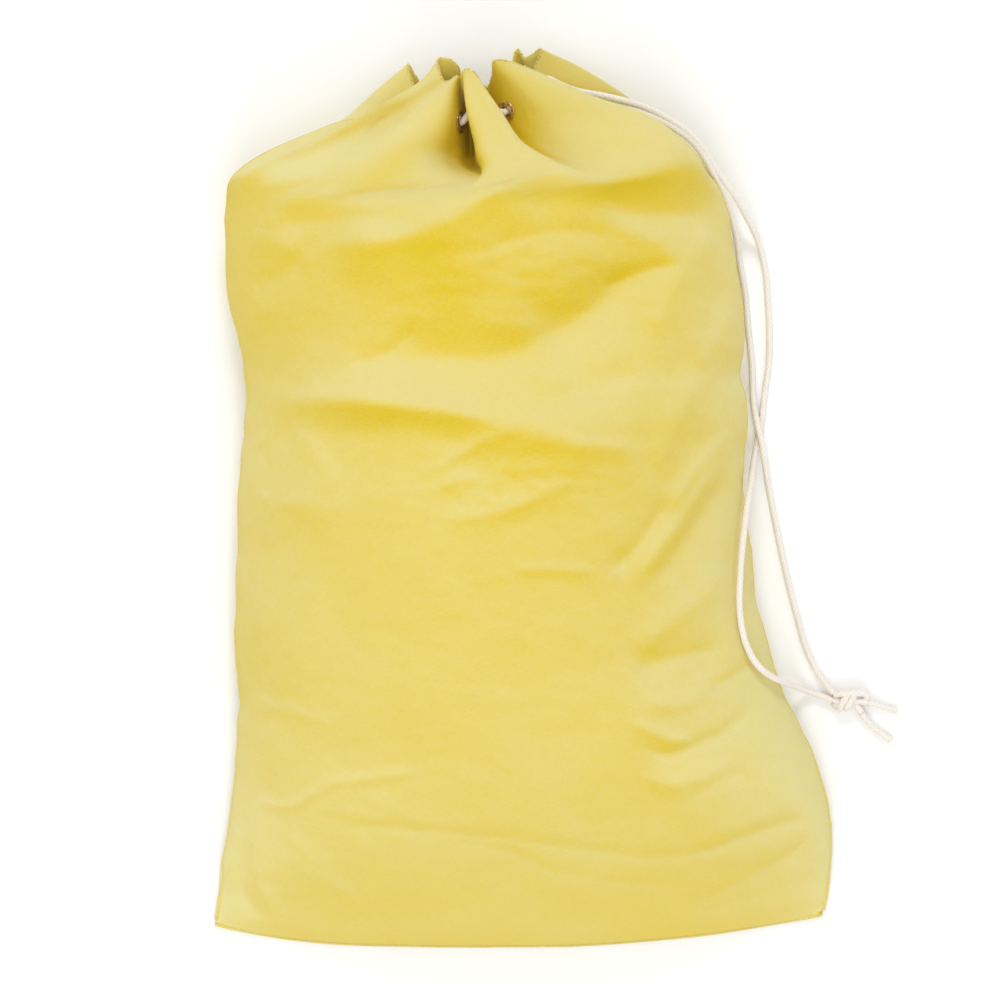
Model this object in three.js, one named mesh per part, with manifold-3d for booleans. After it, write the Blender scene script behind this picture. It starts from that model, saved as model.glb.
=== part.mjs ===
// Laundry bag, packed full and lying on its back with the mouth drawn shut.
// Millimetres. +X to the bag's right, +Y from the bottom seam towards the mouth, +Z up.
// The origin is the middle of the footprint, on the surface that the bag lies on.

import * as THREE from 'three';
import { mergeVertices } from 'three/addons/utils/BufferGeometryUtils.js';
import Module from 'manifold-3d';

// ---------------------------------------------------------------- driving dimensions
const WALL = 2.6;                 // panel thickness in this model
const SEAM_GAP = 1.3;             // half the slot that a seam allowance lies in
const SEAM_HALF = 0.9;            // half the thickness of a seam allowance
const SEAM_WIDTH = 7;             // how far a seam allowance reaches inwards
const SEAM_PROUD = 1;             // how far it stands outside the panels
const STEPS_ACROSS = 36;          // samples along half a section
const DOME = { flatness: 2.2, shoulder: 0.75 };   // powers that shape the filled front
const UNDERSIDE = { wall: 3, drop: 1.7 };         // how fast the back reaches its full depth
const BOTTOM_SEAM_SHARE = 0.996;  // its length, as a share of the bottom edge
const LOBES = 6;                  // pleats that stand outwards round the mouth
const VALLEY_SHARPNESS = 2.2;     // above 1 the valleys are narrower than the pleats
const PLEAT_SHIFT = 0.13;         // moves the pleats towards the middle of the front and back
const PLEAT_FULLNESS = 0.155;     // a fully pleated section is wider by this share
const FINE_STEP = 0.25;           // of one sample, for finding which way a section runs
const BISECTIONS = 40;            // halvings when a place along a section is looked for

const MOUTH = { x: -42, z: 74 };              // middle of the gathered mouth
const VALLEY = { x: 20, z: 14 };              // half-axes of the oval the valleys reach in to
const SIDE_VALLEY = { half: 10, share: 0.028 };   // the valleys at the seams have a broad floor
const CORD_RING = { x: 44, z: 38, y: 375 };   // half-axes and height of the cord in the hem
const HEM_GAP = 0.4;                          // between the panels and the hem

const CORD_RADIUS = 3.25;
const CORD_SIDES = 8;
const CORD_GAP = 0.4;             // between the cord and the cloth that it passes through
const HEM_CORD = { opening: 0.24, turns: 28, ends: [0.5, 4], steps: 60 };
const STRAND_STEPS = { over: 50, under: 56, tail_upper: 4, tail_lower: 5 };

const GROMMET = { hole: 5, barrel: 5.8, flange: 10.75, thick: 1.2, clear: 0.35 };
const GROMMET_LIP = { outside: 1, inside: 1.5, washer: 0.8, washer_back: 0.5 };
const GROMMET_REACH = 4;          // of the clearance on both sides of the wall
const GROMMET_SEGMENTS = 10;

// One row per section, from the bottom seam to the start of the hem:
// y, bow of the corners, left x, right x, seam height, top, underside lift, pleat depth
const BODY_ROWS = [
  [-441, 26, -305, 295, 4, 8, 0, 0],
  [-418, 25, -301, 301, 4.4, 42, 0, 0],
  [-380, 21, -298, 304, 9, 84, 0, 0],
  [-320, 12, -288, 299, 17, 128, 0, 0],
  [-240, 4, -283, 278, 24, 160, 0, 0],
  [-140, 0, -282, 242, 27, 177, 0, 0],
  [-40, 0, -281, 224, 31, 187, 0, 0],
  [60, 0, -276, 218, 34, 190, 0, 0],
  [150, 0, -277, 216, 38, 188, 0, 0],
  [220, 0, -290, 211, 42, 182, 0, 0],
  [280, 0, -290, 201, 48, 172, 0, 0],
  [315, 0, -280, 186, 54, 162, 4, 0.12],
  [338, 0, -256, 168, 60, 154, 9, 0.45],
  [356, 0, -214, 157, 66, 148, 13, 0.8],
];
const HEM_ROWS = [
  [356 + HEM_GAP, 0, -214, 157, 66, 148, 13, 0.8],
  [CORD_RING.y, 0, -178, 132, 70, 141, 17, 1],
  [400, 0, -147, 94, 73, 132, 21, 1],
  [427, 0, -113, 48, 74, 124, 25, 1],
];
const BACK_HEM_RISE = 15;         // the back of the mouth stands higher than the front

// Free cord. Both strands leave the hem stacked in the valley on the right, lie along the
// shoulder, drop beside the bag, cross once and meet at the knot.
const JUNCTION = new THREE.Vector3(1.7, 384, 74);   // where the hem's cord ends
const STACK = 3.5;                                  // half the height between the strands there
const PULL_AXIS = new THREE.Vector3(0.935, -0.355, 0).normalize();
const JUNCTION_AXIS = new THREE.Vector3(-PULL_AXIS.y, PULL_AXIS.x, 0);

const STRAND_OVER = [
  [5.2, 393.2, 70.5], [9.4, 404.2, 70.5], [15.2, 411.2, 70.5], [23, 411.5, 70.5],
  [34, 407.2, 70.5], [49, 400.9, 70.5], [81, 391, 70.8], [115, 378.6, 72],
  [145, 361.6, 71], [161.4, 347.6, 67],
  [173.4, 331, 60], [185.2, 310, 49], [198, 284, 33], [207, 258, 17], [212, 234, 6.6],
  [219, 208, 3.6], [223.4, 173.5, 3.6], [227.4, 136, 3.6], [228.6, 98, 6.4], [231.6, 79, 10.6],
  [235.6, 61, 12], [239.6, 39, 9.6], [244, 14, 4], [249, -12, 3.6], [258.7, -60, 3.6],
  [273.4, -118.6, 3.6], [280.3, -143, 3.6], [290.1, -165.6, 3.6], [300.4, -181.4, 5], [308, -190.4, 7.6],
];
const STRAND_UNDER = [
  [5.2, 393.2, 77.5], [9.4, 404.2, 77.5], [15.2, 411.2, 77.5], [23, 411.6, 77.5],
  [34, 407.9, 77.5], [49, 402.3, 77.4], [82, 396.6, 76], [118, 385.6, 73],
  [149.6, 367.6, 71], [166, 354.6, 67],
  [178, 340.6, 61], [190.6, 323, 52], [203.6, 300, 38], [217, 278, 22], [229.3, 256, 9],
  [238, 229, 3.6], [243, 200, 3.6], [244.6, 173.5, 3.6], [244, 136, 3.6], [240.1, 107.8, 3.6],
  [236.8, 79.4, 3.6], [232.4, 58, 4], [228, 38, 14], [223.6, 17, 43], [217, -20, 61],
  [211.5, -68, 78], [210.5, -108, 84.5], [216, -137, 82.5], [227, -158, 75.5], [243, -171.5, 61],
  [258.6, -178.4, 38], [271, -184, 15], [286, -189.5, 5], [298, -193.8, 4.4], [307.4, -197.4, 5],
];
const KNOT = { x: 325, y: -198, length: 34, width: 21, height: 15 };
const TAIL_UPPER = [[341.9, -199.4, 6], [349, -201.2, 4.4], [359, -204.2, 3.6], [371.4, -207.8, 3.6]];
const TAIL_LOWER = [[338, -207.6, 5.2], [343.6, -214.4, 4.2], [352, -224.6, 3.6], [362.6, -237.2, 3.6]];

// ---------------------------------------------------------------- materials
function finish(color, roughness, metalness) {
  return new THREE.MeshStandardMaterial({ color, roughness, metalness });
}
const CANVAS = finish(0xe8d36a, 0.9, 0);
const THREAD = finish(0xe2cf72, 0.8, 0);
const BRASS = finish(0x9a7440, 0.4, 0.9);
const CORD = finish(0xefe6dc, 0.9, 0);

const bag = new THREE.Group();

function add(name, geometry, material) {
  const mesh = new THREE.Mesh(geometry, material);
  mesh.name = name;
  bag.add(mesh);
  return mesh;
}

// ---------------------------------------------------------------- sections of the bag
function mix(a, b, k) {
  return a + (b - a) * k;
}

// A point of a section: t runs from the left seam (0) to the right seam (1),
// side is 1 on the front and -1 on the back, inset moves it towards the inside.
function sectionPoint(row, t, side, inset) {
  const [y, bow, left, right, seam, top, lift, depth] = row;
  const s = -Math.cos(Math.PI * t);
  const rise = Math.pow(Math.max(0, 1 - Math.pow(Math.abs(s), DOME.flatness)), DOME.shoulder);
  const edge = seam + side * SEAM_GAP;
  const half = (right - left) / 2 * (1 + PLEAT_FULLNESS * depth) - inset;
  let x = (left + right) / 2 + half * s;
  let z = side > 0
    ? edge + (top - inset - edge) * rise
    : Math.max(
      lift + inset * Math.min(1, UNDERSIDE.wall * rise),
      mix(edge, lift, Math.min(1, UNDERSIDE.drop * rise)),
    );
  const phase = t - PLEAT_SHIFT * Math.sin(2 * Math.PI * t);
  const valley = depth * Math.pow((1 + Math.cos(LOBES * Math.PI * phase)) / 2, VALLEY_SHARPNESS);
  x = mix(x, MOUTH.x + VALLEY.x * s, valley);
  const floor = SIDE_VALLEY.half * Math.min(1, Math.min(t, 1 - t) / SIDE_VALLEY.share);
  const reach = SEAM_GAP + Math.max(VALLEY.z * Math.sin(Math.PI * t), floor);
  z = mix(z, MOUTH.z + side * reach, valley);
  return new THREE.Vector3(x, y + bow * s * s, z);
}

// The inside of the wall at the same place: square to the section where it is pleated.
function innerPoint(row, t, side) {
  const plain = sectionPoint(row, t, side, WALL);
  const depth = Math.min(1, row[7] * 4);
  if (depth === 0) return plain;
  const step = FINE_STEP / STEPS_ACROSS;
  const before = sectionPoint(row, Math.max(0, t - step), side, 0);
  const after = sectionPoint(row, Math.min(1, t + step), side, 0);
  const along = after.sub(before).setY(0).normalize();
  const square = sectionPoint(row, t, side, 0);
  square.x += along.z * WALL * side;
  square.z -= along.x * WALL * side;
  if (t === 0 || t === 1) square.z = sectionPoint(row, t, side, 0).z;
  return plain.lerp(square, depth);
}

// A closed shell from a grid of outer points and a grid of inner points.
function shell(outer, inner) {
  const rows = outer.length;
  const columns = outer[0].length;
  const positions = [];
  const index = [];
  for (const grid of [outer, inner]) {
    for (const row of grid) {
      for (const p of row) positions.push(p.x, p.y, p.z);
    }
  }
  const at = (layer, r, c) => (layer * rows + r) * columns + c;
  const quad = (a, b, c, d) => index.push(a, b, c, a, c, d);
  for (let r = 0; r < rows - 1; r++) {
    for (let c = 0; c < columns - 1; c++) {
      quad(at(0, r, c), at(0, r, c + 1), at(0, r + 1, c + 1), at(0, r + 1, c));
      quad(at(1, r, c), at(1, r + 1, c), at(1, r + 1, c + 1), at(1, r, c + 1));
    }
  }
  for (let r = 0; r < rows - 1; r++) {
    quad(at(0, r, 0), at(0, r + 1, 0), at(1, r + 1, 0), at(1, r, 0));
    const last = columns - 1;
    quad(at(0, r, last), at(1, r, last), at(1, r + 1, last), at(0, r + 1, last));
  }
  for (let c = 0; c < columns - 1; c++) {
    quad(at(0, 0, c), at(1, 0, c), at(1, 0, c + 1), at(0, 0, c + 1));
    const end = rows - 1;
    quad(at(0, end, c), at(0, end, c + 1), at(1, end, c + 1), at(1, end, c));
  }
  return outwards(positions, index);
}

// Turns every triangle over when the body's volume comes out negative.
function outwards(positions, index) {
  let volume = 0;
  const p = (i) => new THREE.Vector3().fromArray(positions, 3 * i);
  for (let i = 0; i < index.length; i += 3) {
    volume += p(index[i]).dot(p(index[i + 1]).cross(p(index[i + 2])));
  }
  if (volume < 0) index.reverse();
  const geometry = new THREE.BufferGeometry();
  geometry.setAttribute('position', new THREE.Float32BufferAttribute(positions, 3));
  geometry.setIndex(index);
  return geometry;
}

function panel(rows, side) {
  const columns = Array.from({ length: STEPS_ACROSS + 1 }, (_, c) => c / STEPS_ACROSS);
  const outer = rows.map((row) => columns.map((t) => sectionPoint(row, t, side, 0)));
  const inner = rows.map((row) => columns.map((t) => innerPoint(row, t, side)));
  return shell(outer, inner);
}

// ---------------------------------------------------------------- seam allowances
// A strip that follows one side edge, from near the corner up to the hem's edge.
function sideSeam(t) {
  const inward = t === 0 ? 1 : -1;
  const rows = [...BODY_ROWS.slice(1), ...HEM_ROWS.slice(1)];
  const grid = (from, to) => rows.map((row) => {
    const edge = sectionPoint(row, t, 1, 0);
    const z = edge.z - SEAM_GAP;
    return [from, to].map((offset) => new THREE.Vector3(edge.x + inward * offset, edge.y, z));
  });
  const upper = grid(-SEAM_PROUD, SEAM_WIDTH);
  const lower = grid(-SEAM_PROUD, SEAM_WIDTH);
  upper.flat().forEach((p) => { p.z += SEAM_HALF; });
  lower.flat().forEach((p) => { p.z -= SEAM_HALF; });
  return shell(upper, lower);
}

// A strip that closes the bottom edge between the two panels.
function bottomSeam() {
  const row = BODY_ROWS[0];
  const columns = Array.from({ length: STEPS_ACROSS / 2 + 1 }, (_, c) => 2 * c / STEPS_ACROSS);
  const strip = (offset) => columns.map((t) => {
    const p = sectionPoint(row, t, 1, 0);
    return new THREE.Vector3(p.x * BOTTOM_SEAM_SHARE, p.y + offset, row[4]);
  });
  const upper = [strip(-SEAM_PROUD), strip(SEAM_WIDTH)];
  const lower = [strip(-SEAM_PROUD), strip(SEAM_WIDTH)];
  upper.flat().forEach((p) => { p.z += SEAM_HALF; });
  lower.flat().forEach((p) => { p.z -= SEAM_HALF; });
  return shell(upper, lower);
}

// ---------------------------------------------------------------- cord
function vectors(points) {
  return points.map((p) => new THREE.Vector3(...p));
}

function cordTube(points, steps, radius = CORD_RADIUS) {
  const section = new THREE.Shape();
  for (let i = 0; i < CORD_SIDES; i++) {
    const turn = 2 * Math.PI * i / CORD_SIDES;
    const x = radius * Math.cos(turn);
    const y = radius * Math.sin(turn);
    if (i === 0) section.moveTo(x, y);
    else section.lineTo(x, y);
  }
  section.closePath();
  const path = new THREE.CatmullRomCurve3(points, false, 'centripetal');
  return new THREE.ExtrudeGeometry(section, { steps, bevelEnabled: false, extrudePath: path });
}

function ringPoint(angle) {
  return new THREE.Vector3(
    MOUTH.x + CORD_RING.x * Math.cos(angle),
    CORD_RING.y,
    MOUTH.z + CORD_RING.z * Math.sin(angle),
  );
}

// The length of cord inside the hem, through every grommet, both ends turned towards the mouth.
function hemCordPath() {
  const { opening, turns, ends } = HEM_CORD;
  const ring = [];
  for (let i = 0; i <= turns; i++) {
    ring.push(ringPoint(mix(opening, 2 * Math.PI - opening, i / turns)));
  }
  const end = (sign) => ends.map((back) => JUNCTION.clone()
    .addScaledVector(JUNCTION_AXIS, -back)
    .add(new THREE.Vector3(0, 0, sign * STACK)));
  const [upperEnd, upperBefore] = end(1);
  const [lowerEnd, lowerBefore] = end(-1);
  return [upperEnd, upperBefore, ...ring, lowerBefore, lowerEnd];
}

function strand(route, sign) {
  const start = JUNCTION.clone().add(new THREE.Vector3(0, 0, sign * STACK));
  return [start, ...vectors(route)];
}

// ---------------------------------------------------------------- grommets
// The place along a half section where the pleats reach a given phase.
function placeOfPhase(phase) {
  let low = 0;
  let high = 1;
  for (let i = 0; i < BISECTIONS; i++) {
    const t = (low + high) / 2;
    if (t - PLEAT_SHIFT * Math.sin(2 * Math.PI * t) < phase) low = t;
    else high = t;
  }
  return low;
}

// Where the cord's oval crosses each flank of the pleats, and which way the flank faces.
function grommetPlaces() {
  const row = HEM_ROWS[1];
  const outside = (p) => Math.hypot((p.x - MOUTH.x) / CORD_RING.x, (p.z - MOUTH.z) / CORD_RING.z) - 1;
  const places = [];
  for (const side of [1, -1]) {
    for (let flank = 0; flank < LOBES; flank++) {
      let low = placeOfPhase(flank / LOBES);
      let high = placeOfPhase((flank + 1) / LOBES);
      const lowSign = Math.sign(outside(sectionPoint(row, low, side, 0)));
      for (let i = 0; i < BISECTIONS; i++) {
        const middle = (low + high) / 2;
        if (Math.sign(outside(sectionPoint(row, middle, side, 0))) === lowSign) low = middle;
        else high = middle;
      }
      const step = FINE_STEP / STEPS_ACROSS;
      const a = sectionPoint(row, low - step, side, 0);
      const b = sectionPoint(row, low + step, side, 0);
      const along = b.sub(a).setY(0).normalize();
      const out = new THREE.Vector3(-along.z * side, 0, along.x * side);
      const centre = sectionPoint(row, low, side, 0).addScaledVector(out, -WALL / 2);
      const angle = Math.atan2((centre.z - MOUTH.z) / CORD_RING.z, (centre.x - MOUTH.x) / CORD_RING.x);
      const cord = new THREE.Vector3(-CORD_RING.x * Math.sin(angle), 0, CORD_RING.z * Math.cos(angle));
      cord.normalize().multiplyScalar(Math.sign(cord.dot(out)));
      places.push({ centre, out: out.add(cord).normalize(), side });
    }
  }
  return places;
}

function turned(profile, place) {
  const outline = profile.map(([r, a]) => new THREE.Vector2(r, a));
  outline.push(outline[0].clone());
  const geometry = new THREE.LatheGeometry(outline, GROMMET_SEGMENTS);
  const turn = new THREE.Quaternion().setFromUnitVectors(new THREE.Vector3(0, 1, 0), place.out);
  geometry.applyQuaternion(turn);
  geometry.translate(place.centre.x, place.centre.y, place.centre.z);
  return geometry;
}

// Flange outside, barrel through the wall, seen along the axis that points out of the bag.
function grommetProfile() {
  const { hole, barrel, flange, thick, clear } = GROMMET;
  const { outside, inside } = GROMMET_LIP;
  const face = WALL / 2 + clear;
  return [
    [hole, -face - thick], [barrel, -face - thick], [barrel, face], [flange, face],
    [flange - outside, face + thick * 0.8], [hole + inside, face + thick], [hole, face + thick / 2],
  ];
}

function washerProfile() {
  const { barrel, flange, thick, clear } = GROMMET;
  const face = WALL / 2 + clear;
  return [
    [barrel + clear, -face - thick], [flange - GROMMET_LIP.washer, -face - thick * 0.8],
    [flange - GROMMET_LIP.washer_back, -face], [barrel + clear, -face],
  ];
}

function grommetClearance() {
  const { barrel, flange, clear } = GROMMET;
  const face = WALL / 2;
  const reach = face + GROMMET_REACH;
  return [
    [0, -reach], [flange + clear, -reach], [flange + clear, -face], [barrel + clear, -face],
    [barrel + clear, face], [flange + clear, face], [flange + clear, reach], [0, reach],
  ];
}

// ---------------------------------------------------------------- booleans
const wasm = await Module();
wasm.setup();

function toSolid(geometry) {
  const clean = new THREE.BufferGeometry();
  clean.setAttribute('position', geometry.getAttribute('position').clone());
  if (geometry.index) clean.setIndex(geometry.index.clone());
  const merged = mergeVertices(clean, 1e-4);
  return new wasm.Manifold(new wasm.Mesh({
    numProp: 3,
    vertProperties: new Float32Array(merged.getAttribute('position').array),
    triVerts: new Uint32Array(merged.index.array),
  }));
}

function toGeometry(solid) {
  const mesh = solid.getMesh();
  const geometry = new THREE.BufferGeometry();
  geometry.setAttribute('position', new THREE.Float32BufferAttribute(mesh.vertProperties, 3));
  geometry.setIndex(Array.from(mesh.triVerts));
  return geometry;
}

// ---------------------------------------------------------------- the assembly
add('front_panel', panel(BODY_ROWS, 1), CANVAS);
add('back_panel', panel(BODY_ROWS, -1), CANVAS);
add('left_side_seam', sideSeam(0), THREAD);
add('right_side_seam', sideSeam(1), THREAD);
add('bottom_seam', bottomSeam(), THREAD);

const places = grommetPlaces();
const backHemRows = HEM_ROWS.map((row, i) => (
  i === HEM_ROWS.length - 1 ? [row[0] + BACK_HEM_RISE, ...row.slice(1)] : row));
const hems = { 1: toSolid(panel(HEM_ROWS, 1)), [-1]: toSolid(panel(backHemRows, -1)) };
const cordClearance = toSolid(cordTube(hemCordPath(), HEM_CORD.steps, CORD_RADIUS + CORD_GAP));
for (const side of [1, -1]) hems[side] = hems[side].subtract(cordClearance);
for (const place of places) {
  hems[place.side] = hems[place.side].subtract(toSolid(turned(grommetClearance(), place)));
}
add('front_hem', toGeometry(hems[1]), CANVAS);
add('back_hem', toGeometry(hems[-1]), CANVAS);

places.forEach((place, i) => {
  add(`grommet_${i + 1}`, turned(grommetProfile(), place), BRASS);
  add(`grommet_washer_${i + 1}`, turned(washerProfile(), place), BRASS);
});

add('hem_cord', cordTube(hemCordPath(), HEM_CORD.steps), CORD);
add('strand_over', cordTube(strand(STRAND_OVER, -1), STRAND_STEPS.over), CORD);
add('strand_under', cordTube(strand(STRAND_UNDER, 1), STRAND_STEPS.under), CORD);
add('tail_upper', cordTube(vectors(TAIL_UPPER), STRAND_STEPS.tail_upper), CORD);
add('tail_lower', cordTube(vectors(TAIL_LOWER), STRAND_STEPS.tail_lower), CORD);

const knot = add('cord_knot', new THREE.SphereGeometry(0.5, 12, 8), CORD);
knot.geometry.rotateY(Math.PI / 2);
knot.geometry.scale(KNOT.length, KNOT.width, KNOT.height);
knot.position.set(KNOT.x, KNOT.y, KNOT.height / 2);

export default bag;
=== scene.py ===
"""Laundry bag, packed full and lying on its back, seen from above. Metres, in the CAD frame."""
import math

import bpy
import numpy as np
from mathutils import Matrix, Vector, noise
from mathutils.bvhtree import BVHTree


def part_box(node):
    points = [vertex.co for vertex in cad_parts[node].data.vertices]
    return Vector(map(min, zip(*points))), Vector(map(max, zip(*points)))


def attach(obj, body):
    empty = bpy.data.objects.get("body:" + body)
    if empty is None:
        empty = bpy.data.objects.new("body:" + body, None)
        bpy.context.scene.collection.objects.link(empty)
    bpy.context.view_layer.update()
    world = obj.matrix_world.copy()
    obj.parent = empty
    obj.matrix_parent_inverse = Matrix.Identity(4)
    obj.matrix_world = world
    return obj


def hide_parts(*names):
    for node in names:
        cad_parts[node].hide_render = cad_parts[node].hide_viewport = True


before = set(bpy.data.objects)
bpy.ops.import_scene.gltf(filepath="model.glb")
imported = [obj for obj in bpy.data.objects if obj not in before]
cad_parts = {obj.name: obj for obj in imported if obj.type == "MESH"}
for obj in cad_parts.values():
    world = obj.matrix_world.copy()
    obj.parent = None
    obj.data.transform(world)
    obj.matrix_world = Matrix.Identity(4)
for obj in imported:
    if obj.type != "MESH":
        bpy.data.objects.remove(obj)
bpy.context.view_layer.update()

MM = 0.001

# ---------------------------------------------------------------- camera and light
LENS = 150
SENSOR = 36
VIEW_MIDDLE = (-0.0225, 0.001)
VIEW_WIDTH = 0.980      # what the picture spans, at the level below
VIEW_LEVEL = 0.05
AMBIENT = 0.42
# name, place, what it points at, size, watts
LIGHTS = [
    ("key", (0.05, 3.1, 2.3), (0, 0, 0.1), (1.3, 1.0), 53),
    ("top", (0, -0.8, 4.6), (0, 0, 0), (3.0, 3.0), 44),
    ("fill", (0.2, -3.0, 2.4), (0, 0, 0.1), (3.0, 2.0), 56),
    ("side_left", (-2.8, 0.2, 1.6), (0, 0, 0.1), (1.6, 2.4), 24),
    ("side_right", (2.8, 0.4, 1.8), (0, 0, 0.1), (1.6, 2.4), 16),
]


def make_camera():
    """A long lens that looks straight down."""
    data = bpy.data.cameras.new("camera")
    data.lens = LENS
    data.sensor_width = SENSOR
    data.clip_end = 50
    camera = bpy.data.objects.new("camera", data)
    camera.location = (*VIEW_MIDDLE, VIEW_WIDTH * LENS / SENSOR + VIEW_LEVEL)
    bpy.context.collection.objects.link(camera)
    bpy.context.scene.camera = camera


def area_light(name, place, target, size, energy):
    data = bpy.data.lights.new(name, "AREA")
    data.shape = "RECTANGLE"
    data.size, data.size_y = size
    data.energy = energy
    light = bpy.data.objects.new(name, data)
    light.location = place
    direction = Vector(target) - light.location
    light.rotation_euler = direction.to_track_quat("-Z", "Y").to_euler()
    bpy.context.collection.objects.link(light)


def make_world():
    """Even white light from all round."""
    world = bpy.data.worlds.new("studio")
    world.use_nodes = True
    background = world.node_tree.nodes["Background"].inputs
    background["Color"].default_value = (1, 1, 1, 1)
    background["Strength"].default_value = AMBIENT
    bpy.context.scene.world = world
    bpy.context.scene.view_settings.view_transform = "Standard"


make_camera()
for light in LIGHTS:
    area_light(*light)
make_world()

# ---------------------------------------------------------------- small helpers


def mesh_object(name, verts, faces, material, uvs=None):
    mesh = bpy.data.meshes.new(name)
    mesh.from_pydata(np.asarray(verts, float).tolist(), [], [list(map(int, f)) for f in faces])
    mesh.update()
    if uvs is not None:
        layer = mesh.uv_layers.new(name="cloth")
        loops = np.zeros(len(mesh.loops), np.int32)
        mesh.loops.foreach_get("vertex_index", loops)
        layer.data.foreach_set("uv", np.asarray(uvs, float)[loops].ravel())
    obj = bpy.data.objects.new(name, mesh)
    bpy.context.collection.objects.link(obj)
    mesh.shade_smooth()
    mesh.materials.append(material)
    return obj


def set_painted_shading(obj, values):
    """A number at each point, which the material turns into how pale it is there: painted light and shade.
    """
    layer = obj.data.attributes.new("fade", "FLOAT", "POINT")
    layer.data.foreach_set("value", np.asarray(values, float).ravel())


def thicken(obj, thickness):
    """Give a sheet its thickness in millimetres, behind its face."""
    solidify = obj.modifiers.new("solidify", "SOLIDIFY")
    solidify.thickness = thickness * MM
    solidify.offset = -1


def unit(v):
    return v / np.maximum(np.linalg.norm(v, axis=-1, keepdims=True), 1e-9)


def smooth_step(low, high, x):
    k = np.clip((x - low) / (high - low), 0, 1)
    return k * k * (3 - 2 * k)


def hermite(keys, values, at, period=None):
    """A smooth curve through the values at increasing keys, which may repeat with a period."""
    keys = np.asarray(keys, float)
    values = np.asarray(values, float)
    if period:
        keys = np.concatenate([keys[-2:] - period, keys, keys[:2] + period])
        values = np.concatenate([values[-2:], values, values[:2]])
    gaps = np.diff(keys)
    shape = (-1,) + (1,) * (values.ndim - 1)
    slopes = np.diff(values, axis=0) / gaps.reshape(shape)
    before = gaps[:-1].reshape(shape)
    after = gaps[1:].reshape(shape)
    middle = (slopes[:-1] * after + slopes[1:] * before) / (before + after)
    tangents = np.concatenate([slopes[:1], middle, slopes[-1:]])
    index = np.clip(np.searchsorted(keys, at, side="right") - 1, 0, len(keys) - 2)
    gap = gaps[index].reshape(shape)
    t = ((at - keys[index]) / gaps[index]).reshape(shape)
    a, b = values[index], values[index + 1]
    return (a * (1 + 2 * t) * (1 - t) ** 2 + b * t * t * (3 - 2 * t)
            + gap * tangents[index] * t * (1 - t) ** 2 - gap * tangents[index + 1] * t * t * (1 - t))


def lengths_along(points):
    return np.concatenate([[0], np.cumsum(np.linalg.norm(np.diff(points, axis=0), axis=1))])


def smooth_path(points, spacing):
    """A centripetal curve through the points, resampled at an even spacing."""
    points = np.asarray(points, float)
    keys = np.concatenate([[0], np.cumsum(np.linalg.norm(np.diff(points, axis=0), axis=1) ** 0.5)])
    fine = hermite(keys, points, np.linspace(0, keys[-1], len(points) * 24))
    length = lengths_along(fine)
    count = max(2, int(round(length[-1] / spacing)) + 1)
    return hermite(length, fine, np.linspace(0, length[-1], count))


def grid_faces(rows, columns):
    """The faces of a grid of points that closes on itself along each row."""
    faces = []
    for low in range(0, (rows - 1) * columns, columns):
        high = low + columns
        for c in range(columns):
            d = (c + 1) % columns
            faces.append((low + c, low + d, high + d, high + c))
    return faces


# ---------------------------------------------------------------- materials
class Nodes:
    """Short calls that add and join nodes in one material."""

    def __init__(self, name):
        self.material = bpy.data.materials.new(name)
        self.material.use_nodes = True
        self.tree = self.material.node_tree
        self.bsdf = self.tree.nodes["Principled BSDF"]

    def set(self, **values):
        for key, value in values.items():
            self.bsdf.inputs[key.replace("_", " ")].default_value = value

    def link(self, value, name):
        self.tree.links.new(value, self.bsdf.inputs[name])

    def node(self, kind, inputs=None, **values):
        node = self.tree.nodes.new(kind)
        for key, value in values.items():
            setattr(node, key, value)
        for key, value in (inputs or {}).items():
            if isinstance(value, bpy.types.NodeSocket):
                self.tree.links.new(value, node.inputs[key])
            else:
                node.inputs[key].default_value = value
        return node

    def place(self):
        return self.node("ShaderNodeTexCoord").outputs["Object"]

    # the painted light and shade that each point carries to its material
    def fade(self):
        return self.node("ShaderNodeAttribute", attribute_name="fade").outputs["Fac"]

    def math(self, operation, a, b=0.0):
        return self.node("ShaderNodeMath", {0: a, 1: b}, operation=operation).outputs[0]

    def plus(self, a, b):
        return self.math("ADD", a, b)

    def times(self, a, b):
        return self.math("MULTIPLY", a, b)

    def mix(self, factor, a, b):
        """A mix of two colours, whose sockets are the mix node's 6 and 7."""
        return self.node("ShaderNodeMix", {0: factor, 6: a, 7: b}, data_type="RGBA").outputs[2]

    def noise(self, vector, scale, detail=2.0, roughness=0.5):
        inputs = {"Vector": vector, "Scale": scale, "Detail": detail, "Roughness": roughness}
        return self.node("ShaderNodeTexNoise", inputs).outputs["Fac"]

    def ramp(self, value, low, high):
        inputs = {"Value": value, "From Min": low, "From Max": high}
        return self.node("ShaderNodeMapRange", inputs).outputs["Result"]

    def stretched(self, vector, scale):
        return self.node("ShaderNodeMapping", {"Vector": vector, "Scale": scale}).outputs["Vector"]

    def bump(self, height, strength, distance):
        inputs = {"Height": height, "Strength": strength, "Distance": distance}
        return self.node("ShaderNodeBump", inputs).outputs["Normal"]


# The canvas mixes its deep and pale yellows as painted shade and painted light, and its dark colour is
# painted deep shade; the seams mix the deep and pale yellows by grain.
CANVAS_PAINTED_DARK_SHADE = (0.400, 0.330, 0.025, 1)
CANVAS_DEEP = (0.715, 0.520, 0.023, 1)
CANVAS_PALE = (0.755, 0.672, 0.292, 1)
BRASS_BROWN = (0.42, 0.28, 0.13, 1)
BRASS_BRIGHT = (0.86, 0.68, 0.40, 1)
# the cord's colour in painted shade and where it is soiled
CORD_SHADED_AND_SOILED = (0.79, 0.72, 0.65, 1)
CORD_RIB = (0.90, 0.855, 0.80, 1)
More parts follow.
